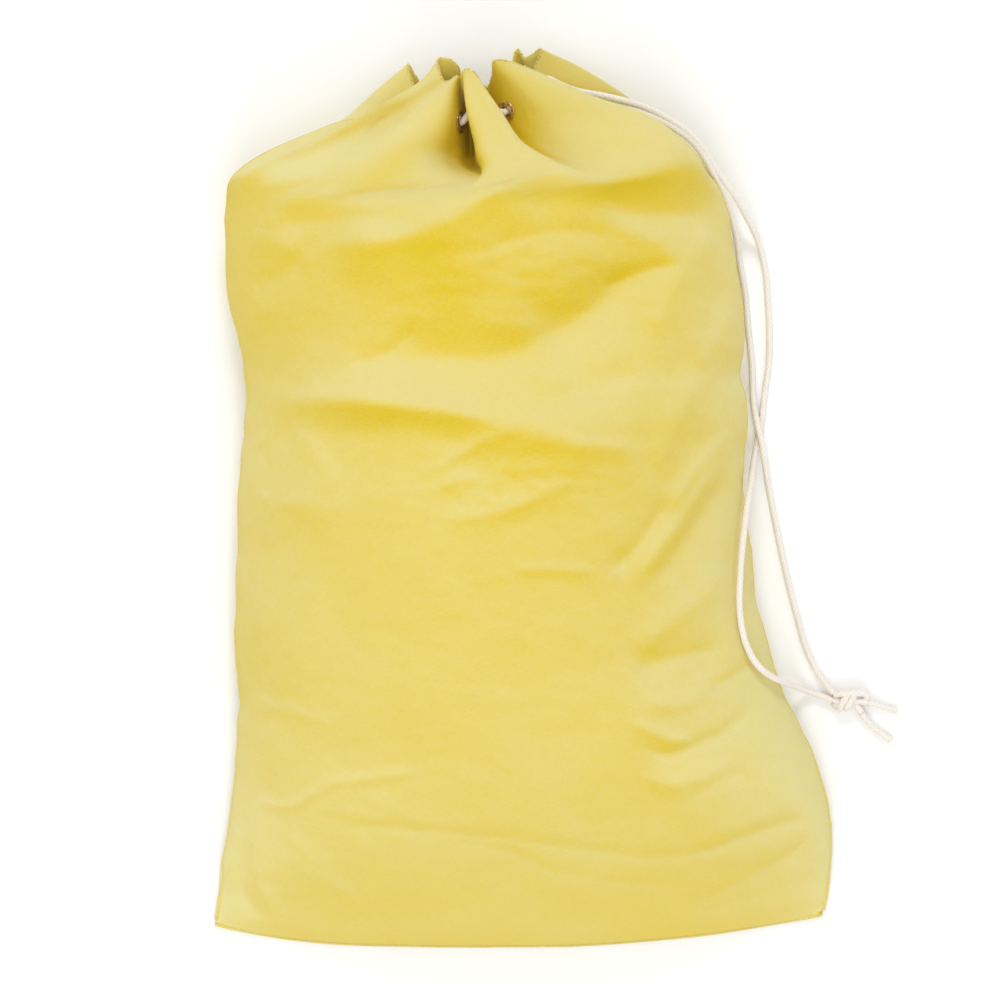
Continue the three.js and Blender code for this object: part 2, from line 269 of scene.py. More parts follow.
# the thread's colour in painted shade between its loops
THREAD_PAINTED_SHADE = (0.42, 0.32, 0.04, 1)
THREAD_DEEP = (0.76, 0.60, 0.10, 1)
THREAD_PALE = (0.88, 0.77, 0.30, 1)
FLOOR_WARM = (0.955, 0.955, 0.95, 1)
FLOOR_WHITE = (0.965, 0.965, 0.965, 1)
WEAVE_PITCH = 0.0011    # of the threads in the canvas, in metres


def canvas_material():
    """Plain-woven cotton: thick and thin threads, with painted shade that deepens the colour in the folds
    and painted light that pales slopes turned one way.
    """
    m = Nodes("canvas")
    m.set(Roughness=0.92, Sheen_Weight=0.06, Sheen_Roughness=0.5, Specular_IOR_Level=0.12)
    uv = m.node("ShaderNodeUVMap", uv_map="cloth").outputs["UV"]
    weft = m.noise(m.stretched(uv, (140, 1100, 1)), 1.0, 2.0, 0.6)
    warp = m.noise(m.stretched(uv, (900, 160, 1)), 1.0, 2.0, 0.6)
    threads = m.plus(m.times(weft, 0.62), m.times(warp, 0.38))
    parts = m.node("ShaderNodeSeparateXYZ", {"Vector": uv}).outputs
    across = m.math("SINE", m.times(parts[0], 2 * math.pi / WEAVE_PITCH))
    along = m.math("SINE", m.times(parts[1], 2 * math.pi / WEAVE_PITCH))
    weave = m.times(across, along)
    # how pale it is: the painted light and shade, less or more in broad blotches and from thread to thread
    fade = m.fade()
    blotch = m.noise(m.place(), 9.0, 3.0, 0.55)
    pale = m.plus(fade, m.times(m.ramp(blotch, 0.3, 0.7), 0.10))
    pale = m.plus(pale, m.times(m.ramp(threads, 0.36, 0.64), 0.22))
    pale = m.math("SUBTRACT", pale, 0.16)
    factor = m.node("ShaderNodeClamp", {"Value": pale}).outputs[0]
    # painted deep shade where the cloth lies deepest in a hollow
    painted_deep_shade = m.ramp(fade, -0.2, -1.1)
    open_colour = m.mix(factor, CANVAS_DEEP, CANVAS_PALE)
    m.link(m.mix(painted_deep_shade, open_colour, CANVAS_PAINTED_DARK_SHADE), "Base Color")
    m.link(m.bump(m.plus(threads, m.times(weave, 0.16)), 0.55, 0.0007), "Normal")
    return m.material


def seam_material():
    """The sewn edges: the same cloth, pressed hard, with a coarser grain."""
    m = Nodes("seam")
    m.set(Roughness=0.9, Sheen_Weight=0.1, Specular_IOR_Level=0.15)
    place = m.place()
    grain = m.noise(place, 700.0, 2.0)
    wide = m.noise(place, 40.0, 2.0)
    both = m.plus(m.times(grain, 0.6), m.times(wide, 0.4))
    m.link(m.mix(m.ramp(both, 0.35, 0.65), CANVAS_DEEP, CANVAS_PALE), "Base Color")
    m.link(m.bump(grain, 0.5, 0.0006), "Normal")
    return m.material


def brass_material():
    """Antique brass: brown where it is tarnished, brighter where it is handled, finely scratched."""
    m = Nodes("grommet")
    m.set(Metallic=0.9)
    place = m.place()
    tarnish = m.noise(place, 260.0, 4.0, 0.65)
    scratch = m.noise(m.stretched(place, (3000, 3000, 600)), 1.0, 2.0)
    m.link(m.mix(m.ramp(tarnish, 0.38, 0.66), BRASS_BROWN, BRASS_BRIGHT), "Base Color")
    m.link(m.ramp(scratch, 0.2, 1.6), "Roughness")
    m.link(m.bump(tarnish, 0.25, 0.0003), "Normal")
    return m.material


def cord_material():
    """Braided cotton: warm white, with painted shade in the hollows of the braid, and a little deeper
    where it is soiled.
    """
    m = Nodes("cord")
    m.set(Roughness=0.88, Sheen_Weight=0.2, Specular_IOR_Level=0.2)
    place = m.place()
    fibre = m.noise(place, 2200.0, 2.0)
    soil = m.noise(place, 45.0, 3.0)
    # painted shade in the braid's hollows, with a little soil
    braid_shade_and_soil = m.plus(m.times(m.ramp(m.fade(), 0.0, 1.0), 0.75), m.times(m.ramp(soil, 0.3, 0.7), 0.25))
    m.link(m.mix(braid_shade_and_soil, CORD_SHADED_AND_SOILED, CORD_RIB), "Base Color")
    m.link(m.bump(fibre, 0.4, 0.0004), "Normal")
    return m.material


def thread_material():
    """Overlocking thread, with painted shade between its loops."""
    m = Nodes("thread")
    m.set(Roughness=0.7, Sheen_Weight=0.2)
    twist = m.noise(m.place(), 1500.0, 1.0)
    loop = m.mix(m.ramp(twist, 0.3, 0.7), THREAD_DEEP, THREAD_PALE)
    m.link(m.mix(m.fade(), THREAD_PAINTED_SHADE, loop), "Base Color")
    return m.material


def floor_material():
    m = Nodes("floor")
    m.set(Roughness=0.95, Specular_IOR_Level=0.1)
    grain = m.noise(m.place(), 3.0, 2.0)
    m.link(m.mix(m.ramp(grain, 0.2, 0.8), FLOOR_WARM, FLOOR_WHITE), "Base Color")
    return m.material


CANVAS = canvas_material()
SEAM = seam_material()
BRASS = brass_material()
CORD = cord_material()
THREAD = thread_material()

# ---------------------------------------------------------------- the shape of the bag
# Millimetres from here on, turned into metres when the meshes are made.
AROUND = 360            # columns round the bag, left seam first, then over the front
HALF = AROUND // 2
ALONG = 280             # rows from the bottom seam to the hem's edge
SECTION_POINTS = 400    # on each half of a section, before its columns are spaced out
LEFT_BOW = 22           # how far the bottom corners stand above the middle of the bottom edge
RIGHT_BOW = 31
CROWN_POWER = 2.3       # how square the top of a section is
CROWN_FULLNESS = 0.72   # how steeply it rises from the seam
UNDERSIDE_DROP = 1.9    # how soon the underside reaches the floor
CANVAS_THICK = 0.9

# y, share of the bow, left x, right x, seam height, top, underside lift
BODY = [
    (-441, 1.00, -305, 297, 4, 7, 0),
    (-428, 0.98, -303, 300, 4.2, 26, 0),
    (-405, 0.92, -300, 303, 5, 52, 0),
    (-372, 0.83, -297, 305, 9, 86, 0),
    (-322, 0.54, -289, 302, 15, 122, 0),
    (-282, 0.33, -283, 293, 20, 142, 0),
    (-226, 0.12, -281, 273, 24, 160, 0),
    (-185, 0, -280, 254, 26, 169, 0),
    (-143, 0, -283, 242, 27, 175, 0),
    (-99, 0, -283, 230, 29, 180, 0),
    (-45, 0, -281, 224, 31, 184, 0),
    (0, 0, -280, 218, 33, 186, 0),
    (50, 0, -276, 217.5, 34, 187, 0),
    (79, 0, -273, 221, 35, 187, 0),
    (104, 0, -271.5, 219, 36, 187, 0),
    (121, 0, -272, 214.5, 37, 187, 0),
    (152, 0, -277, 216.5, 38, 186, 0),
    (188, 0, -287, 214.5, 40, 184, 0),
    (225, 0, -290.5, 210, 43, 181, 0),
    (255, 0, -291.5, 205, 46, 175, 0),
    (282, 0, -291.5, 200, 49, 169, 0),
]

# The gathered mouth: the share of the way round, then a point on the hem's edge, at the
# grommets, on the neck and on the shoulder.
MOUTH = [
    (0.010, (-86, 399, 66), (-112, 380, 70), (-184, 366, 78), (-280, 317, 76)),
    (0.030, (-62, 418, 74), (-92, 396, 76), (-150, 369, 90), (-262, 319, 97)),
    (0.040, (-69, 428, 79), (-95, 405, 83), (-142, 380, 92), (-246, 320, 104)),
    (0.050, (-81, 430, 84), (-98, 409, 88), (-140, 386, 94), (-230, 320, 111)),
    (0.070, (-81, 415, 97), (-101, 400, 97), (-138, 376, 101), (-200, 314, 120)),
    (0.090, (-76, 406, 101), (-97, 390, 101), (-136, 362, 104), (-186, 309, 128)),
    (0.122, (-63, 410, 116), (-79, 388, 126), (-110, 348, 138), (-146, 302, 149)),
    (0.146, (-61, 405, 104), (-66, 373, 120), (-80, 337, 127), (-96, 302, 154)),
    (0.160, (-60, 401, 86), (-58, 368, 98), (-65, 332, 104), (-74, 303, 153)),
    (0.174, (-57, 398, 76), (-52, 362, 76), (-52, 328, 84), (-60, 304, 153)),
    (0.190, (-54, 404, 100), (-48, 368, 100), (-45, 332, 100), (-52, 303, 155)),
    (0.208, (-58.5, 412, 126), (-56, 382, 137), (-45, 340, 149), (-46, 301, 162)),
    (0.227, (-53.5, 415, 130), (-44, 386, 140), (-26, 348, 152), (-16, 306, 164)),
    (0.245, (-47, 412, 127), (-28, 384, 136), (-7, 350, 147), (12, 313, 161)),
    (0.268, (-40, 404, 92), (-34, 374, 92), (-2, 342, 118), (40, 309, 158)),
    (0.284, (-35, 402, 84), (-30, 373, 84), (4, 338, 112), (58, 306, 156)),
    (0.308, (-30, 412, 96), (-16, 379, 98), (16, 342, 116), (78, 306, 153)),
    (0.338, (-29, 424, 109), (1, 392, 111), (36, 354, 120), (102, 309, 148)),
    (0.425, (23, 412, 92), (63.5, 393.8, 98.5), (112.5, 376.4, 104), (163, 323.4, 113)),
    (0.500, (8, 414, 60), (-10, 392, 68), (91.4, 377.4, 58), (186, 313.4, 56)),
    (0.560, (18, 442, 62), (61, 422, 56), (115.8, 384.4, 50), (180, 317.4, 30)),
    (0.605, (3, 434, 50), (22, 398, 46), (66, 362, 34), (146, 312, 10)),
    (0.645, (-6, 443, 44), (4, 404, 34), (26, 362, 16), (92, 311, 2)),
    (0.695, (-17, 410, 50), (-20, 374, 52), (-14, 346, 26), (34, 308, 0)),
    (0.750, (-40, 396, 24), (-42, 372, 14), (-44, 346, 4), (-42, 308, 0)),
    (0.805, (-60, 418, 50), (-64, 374, 52), (-74, 346, 26), (-116, 309, 0)),
    (0.870, (-92, 420, 34), (-122, 388, 26), (-168, 352, 14), (-206, 312, 2)),
    (0.915, (-92, 404, 42), (-118, 384, 34), (-168, 354, 28), (-240, 312, 12)),
    (0.940, (-99, 406, 46), (-130, 391, 44), (-178, 361, 39), (-264, 312, 26)),
    (0.962, (-113, 428, 54), (-142, 404, 55), (-187, 364, 52), (-278, 315, 42)),
    (0.985, (-104, 402, 64), (-134, 389, 66), (-189, 365, 66), (-282, 317, 62)),
]


def body_section(row):
    """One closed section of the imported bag, with its columns spaced evenly over each panel."""
    y, bowed, left, right, seam, top, lift = row
    s = -np.cos(np.linspace(0, math.pi, SECTION_POINTS))
    rise = np.maximum(0, 1 - np.abs(s) ** CROWN_POWER) ** CROWN_FULLNESS
    x = (left + right) / 2 + (right - left) / 2 * s
    bow = bowed * np.where(s < 0, LEFT_BOW * s ** 4, RIGHT_BOW * s ** 2)
    front = np.stack([x, y + bow, seam + (top - seam) * rise], 1)
    drop = seam + (lift - seam) * np.minimum(1, UNDERSIDE_DROP * rise)
    back = np.stack([x, y + bow, drop], 1)[::-1]
    halves = []
    for half in (front, back):
        length = lengths_along(half)
        share = np.linspace(0, 1, HALF + 1)[:-1]
        halves.append(np.stack([np.interp(share * length[-1], length, half[:, k])
                                for k in range(3)], 1))
    return np.concatenate(halves)


def bag_grid():
    """Rows of points from the bottom seam up to the hem's edge, and how far up each row is."""
    shares = np.arange(AROUND) / AROUND
    levels = [body_section(row) for row in BODY]
    keys = [entry[0] for entry in MOUTH]
    for level in (4, 3, 2, 1):
        points = np.array([entry[level] for entry in MOUTH], float)
        levels.append(hermite(keys, points, shares, period=1))
    levels = np.array(levels)
    # every column is as far up as the mean length between the levels
    gaps = np.linalg.norm(np.diff(levels, axis=0), axis=2).mean(axis=1)
    heights = np.concatenate([[0], np.cumsum(gaps)])
    rows = np.linspace(0, heights[-1], ALONG)
    return hermite(heights, levels, rows), rows


# ---------------------------------------------------------------- folds
# Each fold is a line seen from above, with a height, how far it reaches on its upper side
# (towards the mouth, or the left of a line that runs down) and on its lower side. A reach
# below zero is for a side that leaves the line sharply and flattens out.
FOLDS = [
    # the swag that hangs from the left shoulder to the mouth; its lower side falls away sharply
    (8, -26, -34, [(-221, 234), (-179, 241), (-142, 247), (-106, 253), (-84, 261), (-62, 271), (-41, 285),
                   (-18, 296), (4, 305), (22, 310), (72, 316), (120, 320), (162, 327)]),
    (13, -26, -42, [(-190, 239), (-165, 243), (-142, 247), (-106, 253), (-84, 261), (-62, 271), (-41, 285),
                    (-18, 296), (4, 305), (22, 310)]),
    (8, 40, 76, [(-117, 252), (-62, 271), (-18, 288), (34, 288), (91, 272)]),
    (-3, -15, -12, [(-248, 264), (-212, 268), (-165, 269), (-110, 271)]),
    (4, 20, -12, [(-265, 263), (-241, 248), (-214, 233)]),
    (-3, -12, 18, [(-210, 235), (-231, 225), (-269, 204)]),
    # the ridge that runs right from the mouth, and the hollow under it
    (-4.5, -20, -18, [(71, 278), (110, 275), (179, 277)]),
    (3, 14, -14, [(63, 272), (96, 261), (125, 248), (152, 227)]),
    (-2.5, -7, -10, [(89, 253), (53, 257), (25, 256), (-4, 250), (-38, 238)]),
    (1.5, 12, 12, [(-41, 162), (-17, 168), (8, 159)]),
    # the long pointed fold that falls from the right shoulder
    (-10, -34, -50, [(148, 226), (113, 216), (88, 204), (62, 182), (40, 167), (18, 155), (-4, 142),
                     (-33, 135), (-69, 136), (-98, 137), (-124, 133), (-170, 126)]),
    (-7, 40, 64, [(133, 221), (72, 185), (-4, 141), (-79, 134), (-146, 132)]),
    (-8, -22, -44, [(154, 229), (113, 216), (88, 204), (62, 182), (40, 167), (6, 147)]),
    (-4, -6, -10, [(152, 227), (129, 226), (101, 217), (72, 202)]),
    (-3.5, -9, -12, [(-169, 128), (-144, 136), (-128, 141), (-113, 156), (-95, 168)]),
    (-2.5, 14, 12, [(114, 124), (72, 111), (34, 98), (-4, 90)]),
    # the ridge and the sharp crease under it
    (10, -56, -17, [(-248, 95), (-197, 95), (-142, 92), (-106, 88), (-69, 83), (-33, 75), (4, 65),
                    (40, 56), (77, 48), (129, 41)]),
    (9, -24, -15, [(-258, 94), (-222, 95), (-184, 95), (-142, 92), (-106, 88), (-69, 83), (-22, 73)]),
    (2, 12, -16, [(-227, 73), (-209, 54), (-191, 29), (-178, 1)]),
    (-2, -10, -8, [(-260, 58), (-248, 29), (-252, 1)]),
    # small crumples under the crease
    (2, 9, -7, [(-4, 66), (-22, 61), (-45, 52), (-60, 43), (-91, 26)]),
    (1.2, 7, -6, [(34, 47), (72, 52), (107, 48)]),
    (1.2, 7, -6, [(-79, 12), (-64, 20), (-41, 16)]),
    (2.8, 10, -8, [(-83, -21), (-51, -16), (-22, -11), (11, 2), (50, 20)]),
    (2.2, 14, -12, [(-252, 1), (-212, -6), (-159, -10)]),
    (1.2, 8, -8, [(-4, 29), (34, 26), (63, 37)]),
    (1.6, 6, -5, [(-15, -66), (34, -66), (76, -68)]),
    # slanting folds down the right side
    (4, 16, -14, [(186, 269), (164, 233), (145, 206), (134, 179), (129, 148)]),
    (-2.5, -14, -16, [(203, 214), (182, 191), (173, 153)]),
    (4, 18, -12, [(207, 141), (167, 107), (141, 58), (126, 20)]),
    (2.5, 12, -12, [(207, 191), (188, 153), (167, 122)]),
    (5, 10, -9, [(209, 69), (182, 43), (165, 26), (141, -14)]),
    (-5, -12, -9, [(141, 5), (120, -27), (101, -52), (78, -71)]),
    (7, 9, -7, [(193, 43), (167, 1), (137, -42), (108, -79)]),
    (-6, -9, -18, [(203, 35), (179, -3), (150, -43), (118, -86)]),
    (4, 16, -12, [(200, -56), (173, -94), (133, -126), (108, -153)]),
    (-5, -12, -20, [(99, -170), (125, -155), (167, -146), (198, -139)]),
    (3, 14, -10, [(107, -191), (148, -198), (179, -186), (205, -183)]),
    (-4, -6, -8, [(175, -185), (201, -172), (226, -153)]),
    # the shallow V above the bottom right corner
    (3, 8, -7, [(101, -210), (125, -223), (148, -231), (167, -231)]),
    (-4, -7, -9, [(110, -234), (137, -243), (167, -234), (196, -222), (226, -194)]),
    (2.5, 12, -10, [(110, -263), (137, -274), (171, -269), (205, -255)]),
    (-2, -12, -8, [(158, -291), (186, -272), (224, -261)]),
    # long low creases across the bottom
    (1.8, 6, -4, [(-269, -295), (-222, -297), (-207, -287), (-188, -278)]),
    (1.6, 6, -4, [(-201, -275), (-155, -269), (-102, -262)]),
    (-2, -5, -6, [(-224, -294), (-174, -310), (-89, -318), (-4, -326), (72, -338), (120, -343),
                  (186, -336), (224, -322), (283, -305)]),
    (-1.6, -5, -8, [(-98, -325), (-22, -336), (34, -358), (91, -369), (186, -380)]),
    (-2.5, -5, -14, [(158, -343), (215, -325), (285, -308)]),
    (-5, -9, -15, [(158, -399), (210, -375), (253, -351), (287, -327)]),
    (1.4, 8, -8, [(-273, -194), (-231, -204), (-174, -219)]),
    (1.4, 7, -7, [(-212, -360), (-174, -383), (-144, -409)]),
    # the flat ear at the bottom left corner
    (-3.5, 8, 9, [(-277, -284), (-278, -341), (-276, -384), (-254, -417)]),
    (2.5, 9, 9, [(-262, -284), (-263, -341), (-260, -379), (-235, -409)]),
    # the valley under the leftmost pleats, and the ridge that comes down from the notch
    (-11, 15, 12, [(-96, 392), (-130, 374), (-168, 351), (-216, 333), (-258, 322)]),
    (8, 13, 22, [(-84, 372), (-120, 348), (-168, 322), (-226, 304), (-268, 294)]),
]
DEEP_FOLD = 6           # folds this high have their edges rounded off
FOLD_STEP = 3.0         # between the points along a fold's line
FOLD_TAPER = 0.22       # the share of its line over which a fold dies out at each end
FOLD_REST = 0.10        # the share of its height that is left at its very ends
ROUND_POWER = 2.0
SHARP_POWER = 1.25
# the unevenness of the load and the cloth: height, size, seed, and how much finer it is in x, y and z
LUMPS = [(3.0, 95, 11.3, (1, 1, 1)), (0.9, 42, 4.7, (1, 1, 1))]
WRINKLES = [(0.4, 17, 2.9, (0.6, 1.2, 1)), (0.2, 8, 7.1, (0.7, 1.3, 1))]
RUMPLES = [(1.2, 21, 8.8, (0.7, 1.5, 0)), (0.6, 11, 1.4, (0.8, 1.5, 0))]
PUCKERS = [(1.0, 22, 15.1, (0.2, 1, 0.2))]
# where the cloth is rumpled, as a middle and how far it reaches
RUMPLED = [((-20, 22), (105, 34)), ((-20, 212), (110, 42))]
PUCKER_HEIGHT = 2.0
PUCKER_REACH = 0.014    # either side of a seam, as a share of the way round
BACK_LOOSENESS = 0.35   # how uneven the back is, where it lies on the floor


def fold_height(x, y, folds):
    """How far the folds lift the cloth at places seen from above."""
    total = np.zeros_like(x)
    flat = np.stack([x.ravel(), y.ravel()], 1)
    for height, upper, lower, line in folds:
        path = smooth_path(line, FOLD_STEP)
        tangent = unit(np.gradient(path, axis=0))
        if path[-1, 0] < path[0, 0]:
            tangent = -tangent
        reach = 3 * max(abs(upper), abs(lower))
        low = path.min(axis=0) - reach
        high = path.max(axis=0) + reach
        near = np.where(((flat > low) & (flat < high)).all(axis=1))[0]
        if not len(near):
            continue
        away = flat[near][:, None] - path[None]
        closest = (away ** 2).sum(axis=2).argmin(axis=1)
        off = away[np.arange(len(near)), closest]
        t = tangent[closest]
        above = t[:, 0] * off[:, 1] - t[:, 1] * off[:, 0] > 0
        distance = np.linalg.norm(off, axis=1)
        width = np.where(above, abs(upper), abs(lower))
        power = np.where(np.where(above, upper, lower) > 0, ROUND_POWER, SHARP_POWER)
        share = closest / (len(path) - 1)
        taper = smooth_step(0, FOLD_TAPER, share) * smooth_step(1, 1 - FOLD_TAPER, share)
        lift = height * np.exp(-(distance / width) ** power) * (FOLD_REST + (1 - FOLD_REST) * taper)
        total.ravel()[near] += lift
    return total


def uneven(points, waves):
    """Smooth noise at each point, the same on every run."""
    total = 0
    for height, size, seed, stretch in waves:
        flat = points.reshape(-1, 3) / size * np.asarray(stretch) + seed
        values = np.array([noise.noise(Vector(p)) for p in flat.tolist()])
        total = total + height * values.reshape(points.shape[:-1])
    return total


def surface_normals(grid):
    """Outward normals of a grid that closes on itself round the bag."""
    around = np.roll(grid, -1, axis=1) - np.roll(grid, 1, axis=1)
    along = np.gradient(grid, axis=0)
    return unit(np.cross(around, along))


def blurred(values, across, along):
    """A running mean, taken twice, over a window of columns and rows."""
    result = values
    for axis, reach, mode in ((1, across, "wrap"), (0, along, "edge")):
        for _ in range(2):
            pads = [(0, 0)] * result.ndim
            pads[axis] = (reach, reach)
            wide = np.cumsum(np.pad(result, pads, mode=mode), axis=axis)
            zero = np.zeros_like(np.take(wide, [0], axis=axis))
            wide = np.concatenate([zero, wide], axis=axis)
            size = 2 * reach + 1
            count = result.shape[axis]
            result = (np.take(wide, range(size, size + count), axis=axis)
                      - np.take(wide, range(count), axis=axis)) / size
    return result


def sculpted(grid, rows):
    """The plain shape with its folds, the unevenness of the load and the pucker of the seams."""
    share = np.arange(AROUND) / AROUND
    front = smooth_step(0.0, 0.045, share) * smooth_step(0.5, 0.465, share)
    below_hem = smooth_step(rows[-1] - 20, rows[-1] - 90, rows)[:, None]
    above_bottom = smooth_step(rows[0], rows[0] + 30, rows)[:, None]
    x, y = grid[..., 0], grid[..., 1]
    deep = [fold for fold in FOLDS if abs(fold[0]) >= DEEP_FOLD]
    slight = [fold for fold in FOLDS if abs(fold[0]) < DEEP_FOLD]
    lift = blurred(fold_height(x, y, deep), 1, 1) + fold_height(x, y, slight)
    shaped = grid.copy()
    shaped[..., 2] += front * below_hem * above_bottom * lift
    normals = surface_normals(shaped)
    wrinkles = uneven(grid, WRINKLES)
    rumples = uneven(grid, RUMPLES)
    for middle, reach in RUMPLED:
        patch = np.exp(-((x - middle[0]) / reach[0]) ** 2 - ((y - middle[1]) / reach[1]) ** 2)
        wrinkles += front * patch * rumples
    loose = (BACK_LOOSENESS + (1 - BACK_LOOSENESS) * front) * above_bottom * below_hem
    shaped += normals * ((uneven(grid, LUMPS) + wrinkles) * loose)[..., None]
    to_seam = np.minimum(np.minimum(share, 1 - share), np.abs(share - 0.5))
    near_seam = np.exp(-(to_seam / PUCKER_REACH) ** 2)
    pucker = PUCKER_HEIGHT * near_seam * uneven(grid, PUCKERS) * below_hem
    shaped += normals * pucker[..., None]
    shaped[..., 2] = np.maximum(shaped[..., 2], CANVAS_THICK)
    return shaped


# rays that look for other cloth: how many there are in each ring, and how far the ring leans
RAY_RINGS = [(5, 0.45), (8, 0.85), (7, 1.2)]
RAY_START = 0.6         # above the cloth
RAY_REACH = 90
RAY_LOSS = 0.6          # the share of its light that a ray keeps when it is stopped at its full reach


def openness_of(points, normals):
    """How much of the room above each point is free of other cloth, from 0 to 1."""
    flat = points.reshape(-1, 3)
    tree = BVHTree.FromPolygons(flat.tolist(), grid_faces(*points.shape[:2]))
    rays = []
    for ring, lean in RAY_RINGS:
        for k in range(ring):
            turn = 2 * math.pi * (k + 0.5 * (ring % 2)) / ring
            out = math.sin(lean)
            rays.append((out * math.cos(turn), out * math.sin(turn), math.cos(lean)))
    result = np.zeros(len(flat))
    helper = Vector((0.31, 0.17, 0.93))
    for i, (p, n) in enumerate(zip(flat.tolist(), normals.reshape(-1, 3).tolist())):
        n = Vector(n)
        side = n.cross(helper).normalized()
        other = n.cross(side)
        start = Vector(p) + n * RAY_START
        free = 0.0
        for a, b, c in rays:
            hit = tree.ray_cast(start, side * a + other * b + n * c, RAY_REACH)[3]
            free += c if hit is None else c * RAY_LOSS * (hit / RAY_REACH)
        result[i] = free
    return (result / sum(ray[2] for ray in rays)).reshape(points.shape[:2])


PAINTED_LIGHT_WAY = (0.25, 0.95, 0)   # the way of the painted light: slopes turned that way are painted paler
PAINTED_LIGHT_GAIN = 0.455
PAINTED_LIGHT_GAIN_LOST = 0.22    # of that, where the cloth is gathered
PAINTED_LIGHT_CONTRAST = 2.8
PLAIN_PALENESS = 0.415      # of flat cloth in the open
SEAM_PALING = 0.32        # how much paler it is towards the side seams
FOOT_PALING = 0.14        # towards the bottom
MOUTH_PALING = 0.18       # and where it is gathered


def painted_shading_from(normals, openness):
    """How pale the cloth is: painted light on slopes turned one way, painted shade in the folds where
    little room above is open, and paler towards the side seams, the bottom and the mouth.
    """
    # painted light: how far each slope turns the painted light's way, less the broad turn of the body
    facing_painted_light = normals @ np.array(PAINTED_LIGHT_WAY)
    painted_light_relief = facing_painted_light - blurred(facing_painted_light, AROUND // 9, ALONG // 8)
    share = np.arange(AROUND) / AROUND * 2 % 1
    gathered = smooth_step(rows[-1] - 150, rows[-1] - 80, rows)[:, None]
    foot = smooth_step(300, 60, rows)[:, None]
    paler_by_place = SEAM_PALING * np.abs(2 * share - 1) ** 2 + FOOT_PALING * foot + MOUTH_PALING * gathered
    # painted shade where little of the room above is free of other cloth
    painted_hollow_shade = 1.3 * (0.95 - openness).clip(0) + 1.4 * (0.45 - openness).clip(0)
    painted_hollow_shade *= 1 - 0.3 * gathered
    gain = PAINTED_LIGHT_GAIN - PAINTED_LIGHT_GAIN_LOST * gathered
    return np.clip(PLAIN_PALENESS + paler_by_place + gain * np.tanh(PAINTED_LIGHT_CONTRAST * painted_light_relief) - painted_hollow_shade, -1, 1)


plain, rows = bag_grid()
grid = sculpted(plain, rows)
normals = surface_normals(grid)
openness = openness_of(grid, normals)
fade = painted_shading_from(normals, openness)

# ---------------------------------------------------------------- where the grommets sit
SEAT_BAND = (44, 16)    # how far below the rim they may be
SEAT_GAP = 12           # between the middles of two grommets that lie against each other
HOLE = 5.6              # the radius of the hole cut in the cloth
# how far some are pushed along before they look for a place, so that they keep out of a fold
NUDGES = {2: (5, -12, 0), 4: (-12, 0, 4), 5: (-8, 1, 0), 10: (-8, 0, -2), 11: (4, 0, 4)}


def grommet_middles():
    """The middle of each grommet's CAD solid, by its number."""
    middles = {}
    number = 1
    while f"grommet_{number}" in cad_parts:
        low, high = (np.array(corner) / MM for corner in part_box(f"grommet_{number}"))
        middles[number] = (low + high) / 2
        number += 1
    return middles


def place_on_cloth(wanted, taken):
    """The row and column of the nearest free place within the grommets' band."""
    first, last = (np.searchsorted(rows, rows[-1] - below) for below in SEAT_BAND)
    band = grid[first:last]
    away = np.linalg.norm(band - wanted, axis=2)
    for place in taken:
        away[np.linalg.norm(band - place, axis=2) < SEAT_GAP] = np.inf
    row, column = np.unravel_index(away.argmin(), away.shape)
    return first + row, column


def seat_grommets():
    """Each grommet's number, and its place and facing on the cloth nearest to its CAD solid."""
    seats = []
    for number, middle in grommet_middles().items():
        wanted = middle + np.array(NUDGES.get(number, (0, 0, 0)))
        row, column = place_on_cloth(wanted, [seat["place"] for seat in seats])
        beside = [column - 1, column, (column + 1) % AROUND]
        facing = unit(normals[row - 1:row + 2, beside].mean(axis=(0, 1)))
        seats.append({"number": number, "place": grid[row, column], "facing": facing})
    return seats


def cut_faces(seats):
    """Which faces of the grid are cut away to let the grommets through."""
    beside = np.roll(grid, -1, axis=1)
    centres = (grid[:-1] + grid[1:] + beside[:-1] + beside[1:]) / 4
    cut = np.zeros((ALONG - 1, AROUND), bool)
    for seat in seats:
        cut |= np.linalg.norm(centres - seat["place"], axis=2) < HOLE
    return cut


seats = seat_grommets()
cut = cut_faces(seats)

# ---------------------------------------------------------------- canvas pieces
GIRTH = 1220            # round the flat bag
HEM_DEPTH = 38          # how far the hem is turned down inside
HEM_CLEAR = 1.9         # from the outer face of the canvas to the turned-down cloth
HEM_THICK = 0.7
INSIDE_SHADE_SCALE = 0.7       # painted shade: the cloth turned down inside is made deeper in colour
INSIDE_SHADE_LOSS = 0.1


def columns_from(first, last):
    """The columns of one panel, counted on past the last one round to the left seam."""
    return [c % AROUND for c in range(first, last + 1)]


def cloth_uv(heights, first, last):
    """Each point's place on the flat cloth."""
    v, u = np.meshgrid(heights, np.arange(first, last + 1) / AROUND * GIRTH, indexing="ij")
    return np.stack([u, v], 2).reshape(-1, 2) * MM


def canvas_piece(name, first, last):
    """One panel of canvas from the bottom seam to the hem's edge."""
    columns = columns_from(first, last)
    count = len(columns)
    faces = []
    for r in range(ALONG - 1):
        for c in range(count - 1):
            low = r * count + c
            high = low + count
            if not cut[r, columns[c]]:
                faces.append((low, low + 1, high + 1, high))
    verts = grid[:, columns].reshape(-1, 3) * MM
    obj = mesh_object(name, verts, faces, CANVAS, cloth_uv(rows, first, last))
    set_painted_shading(obj, fade[:, columns])
    thicken(obj, CANVAS_THICK)
    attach(obj, "bag")
    return obj


